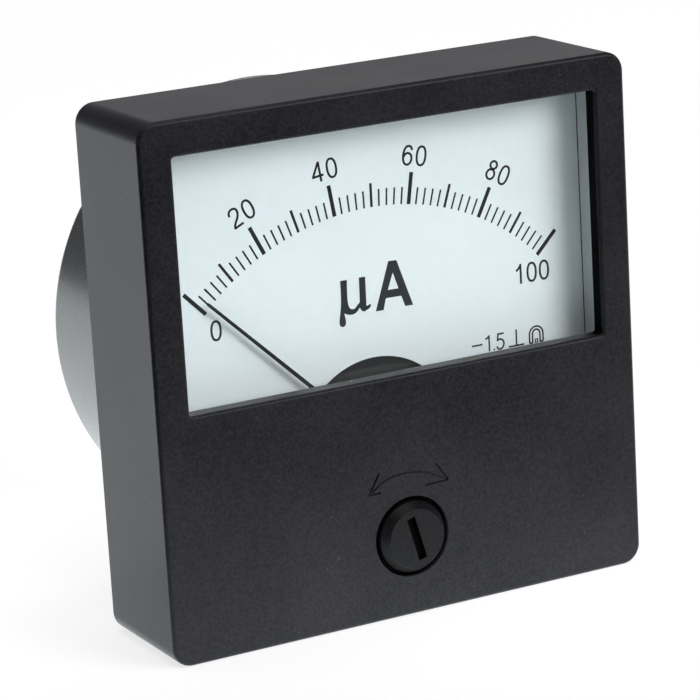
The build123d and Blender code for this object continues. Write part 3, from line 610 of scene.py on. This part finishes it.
# Front cover with the double-headed arrow sunk into its face; points and widths are in mm
arc = [(-6.6, -20.0), (-5.59, -19.22), (-3.62, -18.2), (-0.9, -17.84), (1.77, -18.1), (3.93, -18.87),
       (6.5, -20.2)]
left_tip, right_tip = (-6.95, -20.12), (6.52, -20.25)
barbs = ((left_tip, (-5.01, -17.05)), (left_tip, (-4.91, -20.08)),
         (right_tip, (4.47, -17.3)), (right_tip, (2.67, -20.35)))
arc_width, arc_depth = 0.3, 0.2 * mm
barb_width, barb_depth = 0.34, 0.3 * mm
cutter_y = front_y - 0.5 * mm
cutter = bmesh.new()
stroke(cutter, smoothed(arc), arc_width, cutter_y, front_y + arc_depth)
for barb in barbs:
    stroke(cutter, barb, barb_width, cutter_y, front_y + barb_depth)
cutter_object = linked("cutter", finished(cutter))
shell_object = linked("shell", finished(packed_copy("front_cover")))
cut = shell_object.modifiers.new("arrow", "BOOLEAN")
cut.operation = "DIFFERENCE"
cut.object = cutter_object
cut.solver = "EXACT"
cut.use_self = True
graph = bpy.context.evaluated_depsgraph_get()
cover_mesh = bpy.data.meshes.new_from_object(shell_object.evaluated_get(graph))
for spare in (shell_object, cutter_object):
    bpy.data.objects.remove(spare)

# Faces that meet at less than this run into each other smoothly
flat_blend = radians(32)
cover_mesh.shade_smooth()
cover_mesh.set_sharp_from_angle(angle=flat_blend)
even_flats(cover_mesh, flat_blend)
cover = new_object("cover_body", cover_mesh, "housing", "cover_plastic")
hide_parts("front_cover")


# Adjuster with its edges worn round
wear = 0.1 * mm
worn_edge, cap_sharp = radians(25), radians(50)
cap = packed_copy("zero_adjuster")
rims = [edge for edge in cap.edges if edge.is_manifold and edge.calc_face_angle(0) > worn_edge]
bmesh.ops.bevel(cap, geom=rims, offset=wear, offset_type="OFFSET", segments=3, profile=0.5, affect="EDGES",
                clamp_overlap=True)
cap_mesh = finished(cap, sharp=cap_sharp)
even_flats(cap_mesh, flat_blend)
cap_piece = new_object("adjuster_cap", cap_mesh, "adjuster", "adjuster_plastic")
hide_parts("zero_adjuster")


# Mounting studs with their threads, each thread running a little way into what carries it
root = 0.1 * mm
stud_offset = 32 * mm
stud_radius, stud_pitch = 1.5 * mm, 0.5 * mm
stud_head_radius = (stud_high.x - stud_low.x) / 2 - stud_offset
stud_head_y = stud_low.y + 1.6 * mm
stud_shank_radius = 1.7 * mm
stud_shank_y = -0.5 * mm
studs = bmesh.new()
for x in (-stud_offset, stud_offset):
    for z in (-stud_offset, stud_offset):
        turned(studs, x, z, ((stud_head_radius, stud_low.y), (stud_head_radius, stud_head_y),
                             (stud_shank_radius, stud_head_y), (stud_shank_radius, stud_shank_y)))
        thread(studs, x, z, stud_shank_y - root, stud_high.y, stud_radius, stud_pitch)
stud_piece = new_object("threaded_studs", threaded_mesh(studs), "housing", "steel")
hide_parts("mounting_studs")

# Terminal studs with their hexagon heads and threads, and nuts with chamfered corners
terminal_x, terminal_z = 16 * mm, 6 * mm
terminal_radius, terminal_pitch = 2 * mm, 0.7 * mm
terminal_head_y = terminal_low.y + 2.8 * mm
hexagon_flats = 7
hexagon_corner = hexagon_flats / 2 / cos(radians(30))
nut_height = 3.2 * mm
nut_play = 0.03 * mm
rods = bmesh.new()
nuts = bmesh.new()
for x in (-terminal_x, terminal_x):
    corners = [(x / mm + hexagon_corner * cos(radians(60 * i)),
                terminal_z / mm + hexagon_corner * sin(radians(60 * i))) for i in range(6)]
    prism(rods, corners, terminal_low.y, terminal_head_y)
    thread(rods, x, terminal_z, terminal_head_y - root, terminal_high.y, terminal_radius, terminal_pitch)
    for y0 in (nut_low.y, nut_high.y - nut_height):
        nut(nuts, x, terminal_z, y0, y0 + nut_height, hexagon_flats * mm, terminal_radius + nut_play)
rod_piece = new_object("threaded_terminals", threaded_mesh(rods), "housing", "brass")
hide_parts("terminal_studs")
nut_piece = new_object("chamfered_nuts", finished(nuts, sharp=radians(12)), "housing", "brass")
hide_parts("terminal_nuts")


# Floor. The camera sees it glowing near white. Reflections see painted light on it: painted shade graded
# along the view, darkest far in front, a glowing pool in front of the meter and a glowing field behind it,
# though the floor is no lamp.
floor_half = 1.5
view_heading = (0.464, 0.886, 0)
graded_from, graded_to = -0.3, 0.1
painted_greys = {0: 0.01, 0.25: 0.03, 0.45: 0.12, 0.62: 0.32, 0.75: 0.52, 1: 0.38}
pool_middle, pool_inner, pool_outer, pool_glow = (-0.025, -0.062, 0), 0.03, 0.085, 1.45
field_from, field_to, field_glow = -0.055, 0.005, 1.8
seen_glow = 0.75
reflected_colour, seen_colour = (0.92, 0.98, 1, 1), (1, 1, 1, 1)
floor_shape = bmesh.new()
bmesh.ops.create_grid(floor_shape, x_segments=2, y_segments=2, size=floor_half)
floor = linked("floor", finished(floor_shape))
floor.location = (0, 0, cad_low.z)
floor_look = material("floor_white", Roughness=0.9, Specular_IOR_Level=0.1)
tree = floor_look.node_tree
shader = tree.nodes["Principled BSDF"]
seen = put(tree, "LightPath").outputs["Is Camera Ray"]
place = object_place(tree)
along_view = put(tree, "VectorMath", {"operation": "DOT_PRODUCT"}, i0=place, i1=view_heading).outputs["Value"]
shade = put(tree, "ValToRGB", i0=spread(tree, along_view, graded_from, graded_to, 0, 1))
stops = shade.color_ramp.elements
for position in list(painted_greys)[1:-1]:
    stops.new(position)
for stop, grey in zip(stops, painted_greys.values()):
    stop.color = (grey, grey, grey, 1)
tree.links.new(shade.outputs["Color"], shader.inputs["Base Color"])
pool = spread(tree, distance_from(tree, place, pool_middle), pool_inner, pool_outer, pool_glow, 0)
glow = worked_out(tree, "ADD", pool, spread(tree, along_view, field_from, field_to, 0, field_glow))
tree.links.new(put(tree, "Mix", {"data_type": "FLOAT"}, i0=seen, i2=glow, i3=seen_glow).outputs[0],
               shader.inputs["Emission Strength"])
tree.links.new(blend_colours(tree, seen, reflected_colour, seen_colour), shader.inputs["Emission Color"])
floor.data.materials.append(floor_look)

# Studio room, brighter low down than overhead
low_height, high_height = 0.22, 0.42
low_strength, high_strength = 0.34, 0.14
world = bpy.data.worlds.new("studio")
bpy.context.scene.world = world
world.use_nodes = True
tree = world.node_tree
sky = tree.nodes["Background"]
sky.inputs["Color"].default_value = (0.93, 0.96, 1.0, 1)
height = put(tree, "SeparateXYZ", Vector=put(tree, "TexCoord").outputs["Generated"]).outputs["Z"]
tree.links.new(spread(tree, height, low_height, high_height, low_strength, high_strength),
               sky.inputs["Strength"])


def softbox(name, place, target, width, height, watts):
    lamp = bpy.data.lights.new(name, "AREA")
    lamp.shape = "RECTANGLE"
    lamp.size, lamp.size_y = width, height
    lamp.energy = watts
    holder = linked(name, lamp)
    holder.location = place
    holder.rotation_euler = (Vector(target) - Vector(place)).to_track_quat("-Z", "Y").to_euler()


softbox("overhead", place=(0, 0, 1.3), target=(0, 0, 0), width=1.2, height=1.2, watts=9)
softbox("back", place=(0.42, 0.8, 0.24), target=(0, 0, 0.02), width=0.9, height=0.25, watts=0.4)
softbox("key", place=(0.42, -0.75, 0.36), target=(0, -0.05, 0), width=0.5, height=0.5, watts=4.9)

# The photograph's camera, fitted to the cover's edges and the marks of the scale
view_azimuth, view_elevation, view_roll = radians(-27.661), radians(14.831), radians(-3.329)
view_distance = 0.487275
view_target = Vector((-0.008658, -0.021, 0.002377))
forward = Vector((-sin(view_azimuth) * cos(view_elevation), cos(view_azimuth) * cos(view_elevation),
                  -sin(view_elevation)))
level = Vector((cos(view_azimuth), sin(view_azimuth), 0))
rise = level.cross(forward)
right = cos(view_roll) * level + sin(view_roll) * rise
up = -sin(view_roll) * level + cos(view_roll) * rise
lens = bpy.data.cameras.new("camera")
lens.lens = 172.773
lens.sensor_width = 36.0
camera = linked("camera", lens)
camera.matrix_world = (Matrix.Translation(view_target - forward * view_distance)
                       @ Matrix((right, up, -forward)).transposed().to_4x4())
bpy.context.scene.camera = camera
bpy.context.scene.view_settings.view_transform = "Standard"
